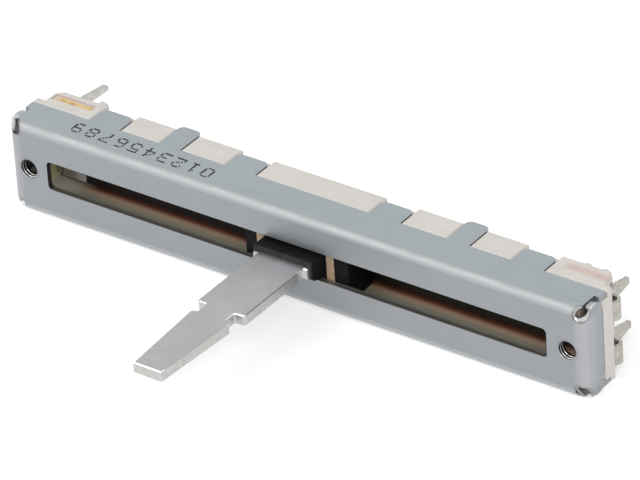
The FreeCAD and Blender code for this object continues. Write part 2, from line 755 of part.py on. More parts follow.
def make_lever():
    """Flat sheared bar: wide root in the neck, shoulder, two side notches and a tapered tip."""
    body = new_body("lever")
    root_end = "-(neck_reach + lever_root_step)"
    notch_end = "-(shoulder_reach + lever_notch_width)"
    right = [
        ("root_x", "lever_anchor"),
        ("root_x", root_end),
        ("lever_width / 2", root_end),
        ("lever_width / 2", "-shoulder_reach"),
        ("lever_notch_half", "-shoulder_reach"),
        ("lever_notch_half", notch_end),
        ("tip_start_width / 2", notch_end),
        ("tip_end_width / 2", "-lever_reach"),
    ]
    shape = sketch_on(body, "XY_Plane", "lever_outline")
    outline(shape, right + [(f"-{x}", y) for x, y in reversed(right)])
    pad(body, shape, "lever_bar", "lever_thickness", both_ways=True)
    notch = [measure("-shoulder_reach"), measure(notch_end)]
    depth = measure("lever_notch_half")
    tip = measure("-lever_reach")

    round_edges(
        body, "lever_corners", "lever_corner",
        lambda b: lies_at(b, "Y", tip, *notch) and b.XLength < SLACK and not lies_at(b, "X", depth, -depth))
    round_edges(
        body, "lever_notch_roots", "lever_notch_root",
        lambda b: lies_at(b, "Y", *notch) and lies_at(b, "X", depth, -depth))
    half = measure("lever_thickness / 2")
    seat = measure("-neck_reach") - SLACK
    round_edges(
        body, "lever_rims", "lever_edge",
        lambda b: lies_at(b, "Z", half, -half) and b.YMax < seat, "PartDesign::Chamfer")
    return body


def make_holder():
    """Insulating bar behind the front plate of the carriage."""
    block("holder_box", "wiper_holder", ("-holder_x", "holder_x"), ("web_back", "wiper_seat"),
          ("-holder_z", "holder_z"))


def make_wiper(level, z_sign):
    """Sprung strip with pairs of fingers that reach to the two tracks of its gang."""
    body = new_body(f"{level}_wiper")
    half_reach = "(finger_pitch + finger_width) / 2"
    low = f"{z_sign} * (collector_height - {half_reach})"
    high = f"{z_sign} * (track_height + {half_reach})"
    base = sketch_on(body, "XZ_Plane", f"{level}_wiper_base_outline", "-wiper_seat")
    rectangle(base, "-wiper_x", "0", low, high)
    pad(body, base, f"{level}_wiper_base", "wiper_thickness", toward_normal=False)
    front = [
        ("-finger_bend", "wiper_seat"),
        ("0", "wiper_seat"),
        ("wiper_x - finger_bend", "contact - contact_rise - wiper_thickness"),
        ("wiper_x", "contact - wiper_thickness"),
        ("wiper_x + finger_bend", "contact - contact_fall - wiper_thickness"),
    ]
    back = [(x, f"{y} + wiper_thickness") for x, y in reversed(front)]
    for kind, height in (("resistive", "track_height"), ("collector", "collector_height")):
        for k in range(int(SIZES["finger_count"])):
            place = f"{z_sign} * ({height} + ({k} - (finger_count - 1) / 2) * finger_pitch)"
            finger = sketch_on(body, "XY_Plane", f"{level}_{kind}_finger_{k + 1}_outline", place)
            outline(finger, front + back)
            pad(body, finger, f"{level}_{kind}_finger_{k + 1}", "finger_width", both_ways=True)
    return body


make_cover()
make_moulding()
make_board()
make_films()
for gang, direction in GANGS:
    for end, _ in SIDES:
        make_end_terminal(gang, end)
    make_collector_terminal(gang, direction)
make_rivets()
make_carriage()
make_glides()
make_lever()
make_holder()
for gang, direction in GANGS:
    make_wiper(gang, direction)
doc.recompute()

for item in doc.Objects:
    if "Invalid" in item.State or "Error" in item.State:
        raise RuntimeError(f"{item.Name} failed: {item.State}")
for node in NODES:
    if node.Shape.isNull() or not node.Shape.isValid():
        raise RuntimeError(f"{node.Label} has no valid shape")

os.makedirs("parts", exist_ok=True)
for node in NODES:
    print(node.Label, round(node.Shape.Volume, 2), len(node.Shape.Faces), len(node.Shape.Solids))
    node.Shape.exportStep(f"parts/{node.Label}.step")
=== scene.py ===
"""Looks of the slide potentiometer: finishes of every piece, cut threads, printed digits, camera and light."""
import math

import bpy
from mathutils import Matrix, Vector


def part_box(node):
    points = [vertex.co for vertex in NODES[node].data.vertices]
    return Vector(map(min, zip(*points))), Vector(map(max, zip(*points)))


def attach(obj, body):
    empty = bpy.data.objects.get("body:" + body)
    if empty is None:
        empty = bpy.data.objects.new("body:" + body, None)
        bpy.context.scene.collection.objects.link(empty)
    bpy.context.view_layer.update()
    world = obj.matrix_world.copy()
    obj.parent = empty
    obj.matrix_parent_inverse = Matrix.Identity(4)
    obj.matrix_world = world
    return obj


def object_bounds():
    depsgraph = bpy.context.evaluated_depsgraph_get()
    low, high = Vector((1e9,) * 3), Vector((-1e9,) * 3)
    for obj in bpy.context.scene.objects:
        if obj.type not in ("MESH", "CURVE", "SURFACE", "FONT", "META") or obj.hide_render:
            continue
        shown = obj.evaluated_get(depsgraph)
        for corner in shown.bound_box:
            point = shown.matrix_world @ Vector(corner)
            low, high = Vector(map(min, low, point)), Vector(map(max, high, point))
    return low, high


MM = 0.001

# Places that the finishes and the new pieces share, counted from the middle of the cover
HOLE_X = 40.0 * MM
BORE = 1.25 * MM
CORNER_OUT = 0.475 * MM
CORNER_RADIUS = 0.95 * MM
SLIT_X = 42.2 * MM
SLOT_X = 37.15 * MM
SLOT_Z = 2.05 * MM
SHEET = 0.8 * MM
FLAP_X = 41.9 * MM
CAVITY_X = 40.68 * MM
CAVITY_Z = 4.78 * MM
CAVITY_FRONT = 0.9 * MM
CAVITY_BACK = 6.7 * MM
LEVER_TIP = -29.0 * MM
LEVER_ROOT = -3.4 * MM

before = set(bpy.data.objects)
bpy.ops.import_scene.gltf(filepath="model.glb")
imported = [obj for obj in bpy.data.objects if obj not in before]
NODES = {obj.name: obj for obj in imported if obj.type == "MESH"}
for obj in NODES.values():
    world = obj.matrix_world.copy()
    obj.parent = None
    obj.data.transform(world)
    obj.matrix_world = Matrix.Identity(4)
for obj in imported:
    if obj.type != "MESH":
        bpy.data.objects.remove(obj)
cad_low, cad_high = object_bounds()
bpy.ops.object.select_all(action="DESELECT")


# Building blocks of the finishes

def new_finish(name):
    """A material with its tree and its shader."""
    material = bpy.data.materials.new(name)
    material.use_nodes = True
    return material, material.node_tree, material.node_tree.nodes["Principled BSDF"]


def add(tree, kind, inputs=None, **settings):
    """A node with its settings and the fixed values of its sockets."""
    made = tree.nodes.new(kind)
    for key, value in settings.items():
        setattr(made, key, value)
    for key, value in (inputs or {}).items():
        made.inputs[key].default_value = value
    return made


def split(tree, vector):
    """The three parts of a vector."""
    parts = add(tree, "ShaderNodeSeparateXYZ")
    tree.links.new(vector, parts.inputs[0])
    return parts.outputs


def place_on(tree):
    """Where a point of the piece lies, in metres."""
    return add(tree, "ShaderNodeTexCoord").outputs["Object"]


def sums(tree, kind, first, second=None, third=None):
    """One step of arithmetic on sockets or plain numbers."""
    step = add(tree, "ShaderNodeMath", operation=kind)
    for slot, value in enumerate((first, second, third)):
        if value is None:
            continue
        if isinstance(value, (int, float)):
            step.inputs[slot].default_value = value
        else:
            tree.links.new(value, step.inputs[slot])
    return step.outputs[0]


class Spot:
    """Place and facing of a point on a surface. Wide, tall, sideways and up count from the middle outwards."""

    def __init__(self, tree):
        self.x, self.y, self.z = split(tree, place_on(tree))
        self.wide = sums(tree, "ABSOLUTE", self.x)
        self.tall = sums(tree, "ABSOLUTE", self.z)
        face_x, self.back, face_z = split(tree, add(tree, "ShaderNodeTexCoord").outputs["Normal"])
        self.ahead = sums(tree, "MULTIPLY", self.back, -1.0)
        self.sideways = sums(tree, "ABSOLUTE", face_x)
        self.up = sums(tree, "ABSOLUTE", face_z)


def grain(tree, size, detail=3.0, stretch=(1.0, 1.0, 1.0), rough=0.55):
    """Cloudy pattern whose spots are about this size in metres, drawn out along an axis by its stretch."""
    lie = add(tree, "ShaderNodeMapping", {"Scale": tuple(1.0 / s for s in stretch)})
    tree.links.new(place_on(tree), lie.inputs["Vector"])
    cloud = add(tree, "ShaderNodeTexNoise", {"Scale": 1.0 / size, "Detail": detail, "Roughness": rough})
    tree.links.new(lie.outputs["Vector"], cloud.inputs["Vector"])
    return cloud.outputs["Fac"]


def blend(tree, *patterns):
    """Sum of patterns, each given with its weight."""
    total = 0.0
    for pattern, weight in patterns:
        total = sums(tree, "MULTIPLY_ADD", pattern, weight, total)
    return total


def uneven(tree, value, pattern, reach):
    """A value that a pattern shifts up and down, by half of the reach at most."""
    return sums(tree, "MULTIPLY_ADD", sums(tree, "SUBTRACT", pattern, 0.5), reach, value)


def distance(tree, first, second):
    """How far a point lies from an axis, from its two offsets."""
    return sums(tree, "SQRT", sums(tree, "MULTIPLY_ADD", first, first, sums(tree, "MULTIPLY", second, second)))


def ramp(tree, value, low, high, start=0.0, end=1.0):
    """A value carried from one range to another and held at its ends."""
    step = add(tree, "ShaderNodeMapRange", {"From Min": low, "From Max": high, "To Min": start, "To Max": end})
    tree.links.new(value, step.inputs["Value"])
    return step.outputs["Result"]


def opposite(tree, mask):
    """Where the mask does not hold."""
    return sums(tree, "SUBTRACT", 1.0, mask)


def above(tree, value, line, soft=0.02 * MM):
    """One above the line and nothing below it, with a narrow soft step."""
    return ramp(tree, value, line - soft, line + soft)


def below(tree, value, line, soft=0.02 * MM):
    """One below the line and nothing above it, with a narrow soft step."""
    return opposite(tree, above(tree, value, line, soft))


def both(tree, *masks):
    """Where all of the masks hold."""
    joined = masks[0]
    for mask in masks[1:]:
        joined = sums(tree, "MULTIPLY", joined, mask)
    return joined


def either(tree, *masks):
    """Where any of the masks holds."""
    joined = masks[0]
    for mask in masks[1:]:
        joined = sums(tree, "MAXIMUM", joined, mask)
    return joined


def between(tree, value, low, high, soft=0.02 * MM):
    """One between two lines and nothing outside them."""
    return both(tree, above(tree, value, low, soft), below(tree, value, high, soft))


def tint(tree, share, first, second):
    """A colour between two colours, each a socket or three numbers."""
    mixed = add(tree, "ShaderNodeMix", data_type="RGBA")
    tree.links.new(share, mixed.inputs["Factor"])
    for key, value in (("A", first), ("B", second)):
        socket = next(s for s in mixed.inputs if s.name == key and s.type == "RGBA")
        if isinstance(value, (tuple, list)):
            socket.default_value = (*value, 1.0)
        else:
            tree.links.new(value, socket)
    return next(s for s in mixed.outputs if s.type == "RGBA")


def shades(tree, value, low, high, stops):
    """Colours that follow one another while a value runs from low to high; the stops go from 0 to 1."""
    band = add(tree, "ShaderNodeValToRGB")
    tree.links.new(ramp(tree, value, low, high), band.inputs["Fac"])
    marks = band.color_ramp.elements
    marks[0].color = (*stops[0][1], 1.0)
    marks[1].color = (*stops[-1][1], 1.0)
    for place, colour in stops[1:-1]:
        marks.new(place).color = (*colour, 1.0)
    return band.outputs["Color"]


def from_corner(tree):
    """How far a point lies from the slanting axis of the nearest corner hole, in metres."""
    x, y, z = split(tree, place_on(tree))
    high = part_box("metal_cover")[1]
    start = (high.x + CORNER_OUT, -2.0 * CORNER_OUT, high.z + CORNER_OUT)
    offset = add(tree, "ShaderNodeCombineXYZ")
    for slot, value in enumerate((sums(tree, "ABSOLUTE", x), y, sums(tree, "ABSOLUTE", z))):
        tree.links.new(sums(tree, "SUBTRACT", value, start[slot]), offset.inputs[slot])
    across = add(tree, "ShaderNodeVectorMath", operation="CROSS_PRODUCT")
    tree.links.new(offset.outputs[0], across.inputs[0])
    lean = 1.0 / math.sqrt(3.0)
    across.inputs[1].default_value = (-lean, lean, -lean)
    away = add(tree, "ShaderNodeVectorMath", operation="LENGTH")
    tree.links.new(across.outputs[0], away.inputs[0])
    return away.outputs["Value"]


def relief(tree, shader, height, depth, strength=1.0):
    """Small dents and ridges of the surface, with their depth in metres."""
    dents = add(tree, "ShaderNodeBump", {"Strength": strength, "Distance": depth})
    tree.links.new(height, dents.inputs["Height"])
    tree.links.new(dents.outputs["Normal"], shader.inputs["Normal"])


def set_surface(tree, shader, colour, roughness, **fixed):
    """Colour and roughness from sockets, everything else set on the shader itself."""
    tree.links.new(colour, shader.inputs["Base Color"])
    tree.links.new(roughness, shader.inputs["Roughness"])
    for key, value in fixed.items():
        shader.inputs[key.replace("_", " ")].default_value = value


# Plated steel of the cover

def folded_sheet(tree, spot, mottle):
    """Front, top and the long bends between them: the front painted darker than the top as painted shade, and the
    bends painted with soft bands of highlight and shade.
    """
    # Painted shade: the front is painted darker and less blue than the top.
    front = tint(tree, mottle, (0.312, 0.326, 0.342), (0.348, 0.364, 0.382))
    top = tint(tree, mottle, (0.352, 0.391, 0.410), (0.392, 0.436, 0.456))
    flat = tint(tree, above(tree, spot.up, 0.8, 0.15), front, top)
    # Painted highlight and shade across the long bends, by how far each point faces up.
    band = shades(tree, spot.up, 0.0, 1.0, (
        (0.0, (0.345, 0.36, 0.375)), (0.2, (0.405, 0.425, 0.445)), (0.41, (0.449, 0.465, 0.475)),
        (0.52, (0.43, 0.435, 0.44)), (0.62, (0.335, 0.34, 0.345)), (0.74, (0.286, 0.292, 0.298)),
        (0.87, (0.331, 0.345, 0.35)), (1.0, (0.372, 0.413, 0.433))))
    bent = both(
        tree, above(tree, spot.up, 0.04, 0.04), below(tree, spot.up, 0.96, 0.03),
        above(tree, spot.ahead, 0.1, 0.05))
    return tint(tree, bent, flat, band)


def end_bends(tree, spot, colour):
    """The upright bends at both ends, painted with a streaked pale highlight along them."""
    streaks = grain(tree, 0.35 * MM, 2.0, stretch=(1.0, 1.0, 14.0))
    around = sums(tree, "MULTIPLY_ADD", streaks, 0.4 * MM, spot.wide)
    around = sums(tree, "MULTIPLY_ADD", spot.y, 0.8, around)
    # Painted highlight round the upright bends, streaked along them.
    bend_highlight = shades(tree, around, 41.0 * MM, 45.5 * MM, (
        (0.0, (0.33, 0.347, 0.362)), (0.15, (0.395, 0.40, 0.415)), (0.27, (0.41, 0.413, 0.43)),
        (0.38, (0.425, 0.427, 0.44)), (0.48, (0.43, 0.432, 0.447)), (0.58, (0.40, 0.403, 0.42)),
        (0.67, (0.415, 0.42, 0.44)), (0.78, (0.385, 0.403, 0.42)), (0.89, (0.36, 0.378, 0.393)),
        (1.0, (0.35, 0.367, 0.384))))
    bent = both(
        tree, above(tree, spot.wide, 40.8 * MM, 0.3 * MM), below(tree, spot.tall, 5.0 * MM, 0.5 * MM),
        below(tree, spot.y, 3.4 * MM, 0.2 * MM))
    return tint(tree, bent, colour, bend_highlight)


def fold_crease(tree, spot, colour):
    """The faint crease that folding leaves along the flanges, painted as a dark line of shade."""
    faint = ramp(tree, grain(tree, 4.0 * MM, 2.0, stretch=(3.0, 1.0, 1.0)), 0.42, 0.6, 0.0, 0.3)
    # Painted shade along the crease.
    line = between(tree, spot.y, 1.42 * MM, 1.62 * MM, 0.08 * MM)
    return tint(tree, both(tree, line, above(tree, spot.up, 0.9), faint), colour, (0.16, 0.175, 0.185))


def sheared_rims(tree, spot, fine, colour):
    """Sheared edges of the corner holes, slits and flanges, and where they are, with painted light and shade:
    bright on the right, lavender on the left, shade in the inner part of the right slits, and a dark line of shade
    round each hole.
    """
    hole = from_corner(tree)
    in_hole = below(tree, hole, CORNER_RADIUS + 0.03 * MM)
    in_slit = both(
        tree, above(tree, spot.wide, 42.03 * MM), above(tree, spot.tall, 5.0 * MM), below(tree, spot.y, 3.1 * MM),
        above(tree, spot.up, 0.45, 0.1))
    flange_end = both(tree, above(tree, spot.y, 4.3 * MM), above(tree, spot.back, 0.8, 0.05))
    sheared = either(tree, in_hole, in_slit, flange_end)

    # Painted light and shade on the sheared edges: bright on the right with shade in the inner part of each slit,
    # lavender on the left.
    slit_shade = tint(
        tree, above(tree, spot.wide, 42.5 * MM, 0.1 * MM), (0.37, 0.36, 0.385), (0.62, 0.605, 0.59))
    right_shade = tint(tree, in_slit, (0.60, 0.59, 0.57), slit_shade)
    on_left = both(tree, either(tree, in_hole, in_slit), below(tree, spot.x, 0.0))
    colour = tint(tree, sheared, colour, tint(tree, on_left, right_shade, (0.44, 0.44, 0.465)))

    # Painted shade: a dark line round each hole, faint at the lower left.
    not_lower_left = either(tree, above(tree, spot.x, 0.0), above(tree, spot.z, 0.0), 0.2)
    outline = both(
        tree, above(tree, hole, CORNER_RADIUS + 0.03 * MM), below(tree, hole, CORNER_RADIUS + 0.12 * MM, 0.05 * MM),
        ramp(tree, fine, 0.3, 0.6, 0.4, 0.75), not_lower_left)
    return tint(tree, outline, colour, (0.10, 0.10, 0.10)), sheared


def slot_edges(tree, spot, colour):
    """Cut edges of the slot: two tones of the punch along it with a dark line of painted shade between them, and
    painted shade at its ends, turning yellowish further in like the lit end wall behind them.
    """
    streaks = grain(tree, 0.12 * MM, 2.0, stretch=(12.0, 1.0, 1.0))
    # Painted shade: a dark line across the middle of the lower cut edge.
    lip_shade = shades(tree, uneven(tree, spot.y, streaks, 0.25 * MM), 0.0, SHEET, (
        (0.0, (0.38, 0.38, 0.375)), (0.32, (0.31, 0.31, 0.3)), (0.46, (0.13, 0.125, 0.115)),
        (0.6, (0.30, 0.285, 0.25)), (1.0, (0.40, 0.375, 0.32))))
    in_slot = both(tree, below(tree, spot.tall, SLOT_Z), below(tree, spot.wide, SLOT_X))
    colour = tint(tree, both(tree, in_slot, above(tree, spot.up, 0.6, 0.05)), colour, lip_shade)
    # Painted shade at the ends of the slot, yellowish further in like the lit end wall behind them.
    end_shade = tint(
        tree, above(tree, spot.y, 0.6 * MM, 0.06 * MM), (0.075, 0.07, 0.085), (0.30, 0.28, 0.19))
    slot_end = both(tree, in_slot, above(tree, spot.wide, 36.0 * MM), above(tree, spot.sideways, 0.3, 0.1))
    return tint(tree, slot_end, colour, end_shade)


def paint_bore_shade(tree, spot, colour):
    """Painted shade on the walls of the drawn mounting holes, and a faint ring of painted shade where the sheet
    dips round their mouths.
    """
    spread = distance(tree, sums(tree, "SUBTRACT", spot.wide, HOLE_X), spot.z)
    # Painted shade on the bore walls.
    wall = both(
        tree, below(tree, spread, BORE + 0.12 * MM, 0.03 * MM), above(tree, spot.y, 0.075 * MM, 0.03 * MM))
    colour = tint(tree, wall, colour, (0.022, 0.02, 0.019))
    # Painted shade of a shallow dip round each mouth.
    dimple_shade = both(
        tree, ramp(tree, spread, BORE + 0.1 * MM, BORE + 0.5 * MM, 1.0, 0.0), above(tree, spot.ahead, 0.8),
        ramp(tree, grain(tree, 1.5 * MM, 2.0), 0.35, 0.65, 0.1, 0.4), opposite(tree, wall))
    return tint(tree, dimple_shade, colour, (0.21, 0.215, 0.22))


def plated_steel():
    """Zinc-plated sheet: cool grey, with shiny punched edges; light and shade are painted in as pale bands along
    its bends, brighter edges, pale flap edges and dark shade in its holes, slot and crease.
    """
    material, tree, shader = new_finish("zinc_plated_steel")
    fine = grain(tree, 0.35 * MM, 4.0)
    clouds = grain(tree, 5.0 * MM, 3.0)
    rolled = grain(tree, 0.5 * MM, 3.0, stretch=(18.0, 1.0, 1.0))
    mottle = ramp(tree, blend(tree, (rolled, 0.2), (clouds, 0.35), (fine, 0.45)), 0.36, 0.64)
    spot = Spot(tree)
    colour = folded_sheet(tree, spot, mottle)
    colour = end_bends(tree, spot, colour)
    colour = fold_crease(tree, spot, colour)
    colour, sheared = sheared_rims(tree, spot, fine, colour)
    colour = slot_edges(tree, spot, colour)
    colour = paint_bore_shade(tree, spot, colour)
    # Painted light on the back edges of the end flaps, where shade falls between flap and moulding.
    lit_flap_edge = both(tree, above(tree, spot.wide, FLAP_X), above(tree, spot.back, 0.8, 0.05))
    colour = tint(tree, lit_flap_edge, colour, (0.85, 0.85, 0.83))

    dull = ramp(tree, blend(tree, (clouds, 0.5), (fine, 0.5)), 0.35, 0.65, 0.38, 0.5)
    rough = sums(tree, "MULTIPLY", dull, ramp(tree, sheared, 0.0, 1.0, 1.0, 0.5))
    set_surface(tree, shader, colour, rough, Metallic=0.85)
    relief(tree, shader, sums(tree, "MULTIPLY_ADD", rolled, 0.6, fine), 0.006 * MM, 0.6)
    return material


# Ivory moulding of the body

def outer_ivory(tree, spot, clouds):
    """Ivory of the blocks and end walls, pinkish where it is thin over the right end of the board, with painted
    light: faces turned to the sides painted paler, and the faces beside the flaps painted nearly white.
    """
    low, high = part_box("phenolic_board")
    ivory = tint(tree, ramp(tree, clouds, 0.35, 0.65), (0.628, 0.600, 0.562), (0.664, 0.636, 0.598))
    # Painted light: faces turned to the sides are painted paler.
    ivory = tint(tree, above(tree, spot.sideways, 0.9, 0.05), ivory, (0.705, 0.675, 0.638))
    # Painted light on the faces beside the flaps, where shade would fall.
    lit_beside_flap = both(
        tree, above(tree, spot.wide, 42.0 * MM), below(tree, spot.y, 4.3 * MM), above(tree, spot.ahead, 0.5, 0.1))
    ivory = tint(tree, lit_beside_flap, ivory, (0.98, 0.96, 0.92))
    thin = both(
        tree, above(tree, spot.x, high.x - 5.6 * MM, 0.5 * MM), above(tree, spot.y, low.y + 0.12 * MM, 0.32 * MM),
        below(tree, spot.y, high.y, 0.32 * MM), above(tree, spot.tall, 6.1 * MM))
    pinkish = tint(tree, ramp(tree, clouds, 0.4, 0.6), (0.58, 0.46, 0.40), (0.62, 0.505, 0.445))
    return tint(tree, thin, ivory, pinkish)


def cavity_shade(tree, spot, colour):
    """Painted light and shade inside the body: red-brown light from the board near it, paler towards both ends,
    golden on the end walls, and dark behind the mounting holes.
    """
    # Painted shade and reflected light of the board, by depth in the cavity.
    shade = shades(tree, spot.y, 3.2 * MM, 6.6 * MM, (
        (0.0, (0.33, 0.315, 0.28)), (0.3, (0.36, 0.36, 0.295)), (0.42, (0.40, 0.375, 0.295)),
        (0.54, (0.55, 0.46, 0.34)), (0.66, (0.74, 0.55, 0.42)), (0.77, (0.68, 0.42, 0.29)),
        (0.88, (0.38, 0.155, 0.10)), (1.0, (0.15, 0.05, 0.03))))
    shade = tint(tree, ramp(tree, spot.wide, 34.5 * MM, 39.5 * MM), shade, (0.76, 0.74, 0.66))
    # Painted light on the end walls of the cavity.
    shade = tint(tree, above(tree, spot.sideways, 0.7, 0.1), shade, (0.93, 0.86, 0.52))
    inside = both(
        tree, below(tree, spot.wide, CAVITY_X), below(tree, spot.tall, CAVITY_Z),
        between(tree, spot.y, CAVITY_FRONT, CAVITY_BACK))
    colour = tint(tree, inside, colour, shade)
    # Painted shade behind the mounting holes, where no light reaches.
    behind_bore = both(
        tree, between(tree, spot.wide, HOLE_X - 2.0 * MM, HOLE_X + 2.0 * MM), below(tree, spot.tall, 2.6 * MM),
        above(tree, spot.y, CAVITY_FRONT), below(tree, spot.y, 3.3 * MM, 0.1 * MM))
    return tint(tree, behind_bore, colour, (0.24, 0.23, 0.18))


def moulded_white():
    """Ivory moulding, a little waxy, and shaded where it shows through the corner holes."""
    material, tree, shader = new_finish("ivory_moulding")
    clouds = grain(tree, 3.0 * MM, 2.0)
    fine = grain(tree, 0.25 * MM, 3.0)
    spot = Spot(tree)
    colour = cavity_shade(tree, spot, outer_ivory(tree, spot, clouds))
    behind_corner = below(tree, from_corner(tree), CORNER_RADIUS + 0.35 * MM, 0.1 * MM)
    right_shade = tint(tree, above(tree, spot.z, 0.0), (0.46, 0.46, 0.47), (0.24, 0.19, 0.155))
    seen_through = tint(tree, above(tree, spot.x, 0.0), (0.36, 0.36, 0.375), right_shade)
    colour = tint(tree, behind_corner, colour, seen_through)
    rough = ramp(tree, fine, 0.3, 0.7, 0.42, 0.56)
    set_surface(tree, shader, colour, rough, Subsurface_Weight=0.1, Subsurface_Scale=0.5 * MM)
    relief(tree, shader, fine, 0.004 * MM, 0.5)
    return material


# Board, films, strip metal, lever and dark mouldings

def phenolic_paper():
    """Dark brown resin-bonded paper, with golden cut edges that fade to a pinkish margin, and a face painted paler
    and greyer towards its left end as painted light.
    """
    material, tree, shader = new_finish("phenolic_paper")
    low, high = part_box("phenolic_board")
    fibres = grain(tree, 0.3 * MM, 4.0, stretch=(9.0, 1.0, 1.0))
    clouds = grain(tree, 1.2 * MM, 2.0)
    spot = Spot(tree)
    face = tint(tree, ramp(tree, fibres, 0.35, 0.65), (0.075, 0.026, 0.011), (0.13, 0.048, 0.02))
    # Painted light: the face turns paler and greyer towards the left end, on the back of the board as well.
    face = tint(tree, ramp(tree, spot.x, -34.6 * MM, -36.2 * MM), face, (0.21, 0.185, 0.145))
    streaks = blend(tree, (clouds, 0.5), (fibres, 0.5))
    gold = tint(tree, ramp(tree, streaks, 0.42, 0.6), (0.47, 0.30, 0.10), (0.80, 0.60, 0.28))
    aside = sums(tree, "ABSOLUTE", sums(tree, "SUBTRACT", spot.y, (low.y + high.y) / 2.0))
    margin = either(
        tree, above(tree, uneven(tree, aside, clouds, 0.35 * MM), 0.36 * MM, 0.12 * MM),
        above(tree, spot.wide, high.x - 0.7 * MM, 0.4 * MM))
    cut_edge = tint(tree, margin, gold, (0.66, 0.52, 0.43))
    colour = tint(tree, above(tree, spot.tall, 5.1 * MM), face, cut_edge)
    set_surface(tree, shader, colour, ramp(tree, fibres, 0.3, 0.7, 0.4, 0.6))
    relief(tree, shader, fibres, 0.01 * MM, 0.6)
    return material


def printed_film(name, dark, light, metallic, smooth, rough):
    """Screen-printed film with a fine speckle."""
    material, tree, shader = new_finish(name)
    speckle = grain(tree, 0.15 * MM, 3.0)
    colour = tint(tree, ramp(tree, speckle, 0.35, 0.65), dark, light)
    set_surface(tree, shader, colour, ramp(tree, speckle, 0.3, 0.7, smooth, rough), Metallic=metallic)
    relief(tree, shader, speckle, 0.003 * MM, 0.4)
    return material


def pad_film():
    """Silver film of the contact pads, with painted light and shade: brighter towards the track, brownish shade
    towards the crimp.
    """
    material, tree, shader = new_finish("silver_pad")
    speckle = grain(tree, 0.15 * MM, 3.0)
    wide = sums(tree, "ABSOLUTE", split(tree, place_on(tree))[0])
    along = sums(tree, "MULTIPLY_ADD", speckle, -0.3 * MM, wide)
    # Painted light towards the track and brownish painted shade towards the crimp.
    colour = shades(tree, along, 36.2 * MM, 38.9 * MM, (
        (0.0, (0.93, 0.95, 0.97)), (0.35, (0.86, 0.88, 0.90)), (0.7, (0.56, 0.55, 0.51)),
        (1.0, (0.47, 0.45, 0.40))))
    set_surface(tree, shader, colour, ramp(tree, speckle, 0.3, 0.7, 0.45, 0.6), Metallic=0.35)
    relief(tree, shader, speckle, 0.003 * MM, 0.4)
    return material


def inside_loop(tree):
    """The inner wall of the loop that a terminal makes round the end of the board."""
    low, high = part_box("phenolic_board")
    strip_low, strip_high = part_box("upper_right_terminal")
    radius = (high.y - low.y) / 2.0
    axis = strip_high.x - radius - (low.y - strip_low.y)
    x, y, _ = split(tree, place_on(tree))
    beyond = sums(tree, "MAXIMUM", sums(tree, "SUBTRACT", sums(tree, "ABSOLUTE", x), axis), 0.0)
    aside = sums(tree, "SUBTRACT", y, (low.y + high.y) / 2.0)
    return below(tree, distance(tree, beyond, aside), radius + 0.03 * MM)


def drawn_metal(name, dark, light, smooth, rough, light_inside_loop=False):
    """Thin strip metal, tinned or bare, with soft clouds and fine scratches, and painted light inside a loop."""
    material, tree, shader = new_finish(name)
    clouds = grain(tree, 0.8 * MM, 3.0)
    lines = grain(tree, 0.12 * MM, 2.0, stretch=(1.0, 8.0, 1.0))
    scratched = blend(tree, (lines, 0.35), (clouds, 0.65))
    colour = tint(tree, ramp(tree, scratched, 0.38, 0.62), dark, light)
    if light_inside_loop:
        # Painted light on the inner wall of the loop, where shade would fall.
        colour = tint(tree, inside_loop(tree), colour, (0.97, 0.93, 0.86))
    set_surface(tree, shader, colour, ramp(tree, clouds, 0.3, 0.7, smooth, rough), Metallic=0.95)
    relief(tree, shader, scratched, 0.006 * MM, 0.6)
    return material


def lever_metal():
    """Flat bar with a dull mottled face, sheared sides painted paler as painted reflection, and rims between them
    with painted highlights and shade; a painted highlight sits on the right near its inner end.
    """
    material, tree, shader = new_finish("sheared_bar")
    mottle = grain(tree, 0.7 * MM, 5.0, rough=0.6)
    clouds = grain(tree, 4.0 * MM, 2.0)
    shear = grain(tree, 0.3 * MM, 3.0, stretch=(1.0, 1.0, 5.0))
    spot = Spot(tree)
    flat = above(tree, spot.up, 0.9, 0.05)
    on_sides = opposite(tree, flat)
    cloudy = ramp(tree, blend(tree, (clouds, 0.45), (mottle, 0.55)), 0.38, 0.62)
    face = tint(tree, cloudy, (0.418, 0.424, 0.420), (0.484, 0.478, 0.492))
    # Painted reflection: the sheared sides are painted paler than the face.
    side = tint(tree, ramp(tree, shear, 0.3, 0.7), (0.47, 0.465, 0.45), (0.57, 0.565, 0.55))
    # Painted highlights on the rims at the tip and the notch, painted shade towards the inner end.
    rim_highlight_and_shade = shades(tree, uneven(tree, spot.y, shear, 2.0 * MM), LEVER_TIP, -13.0 * MM, (
        (0.0, (0.86, 0.86, 0.85)), (0.03, (0.86, 0.86, 0.85)), (0.06, (0.43, 0.43, 0.43)),
        (0.72, (0.43, 0.43, 0.43)), (0.8, (0.70, 0.70, 0.69)), (0.91, (0.80, 0.80, 0.79)),
        (0.95, (0.26, 0.26, 0.26)), (1.0, (0.24, 0.24, 0.24))))
    rim = both(tree, above(tree, spot.up, 0.25, 0.1), on_sides)
    colour = tint(tree, rim, tint(tree, flat, side, face), rim_highlight_and_shade)
    # Painted highlight on the right-hand sides near the inner end.
    root = both(tree, above(tree, spot.y, LEVER_ROOT, 0.1 * MM), above(tree, spot.x, 0.0), on_sides)
    colour = tint(tree, root, colour, (0.72, 0.72, 0.71))
    dull = ramp(tree, flat, 0.0, 1.0, 0.36, 0.42)
    set_surface(
        tree, shader, colour, sums(tree, "ADD", dull, ramp(tree, mottle, 0.3, 0.7, -0.04, 0.04)), Metallic=0.9)
    relief(tree, shader, blend(tree, (both(tree, shear, on_sides), 0.5), (mottle, 0.4)), 0.012 * MM, 0.5)
    return material


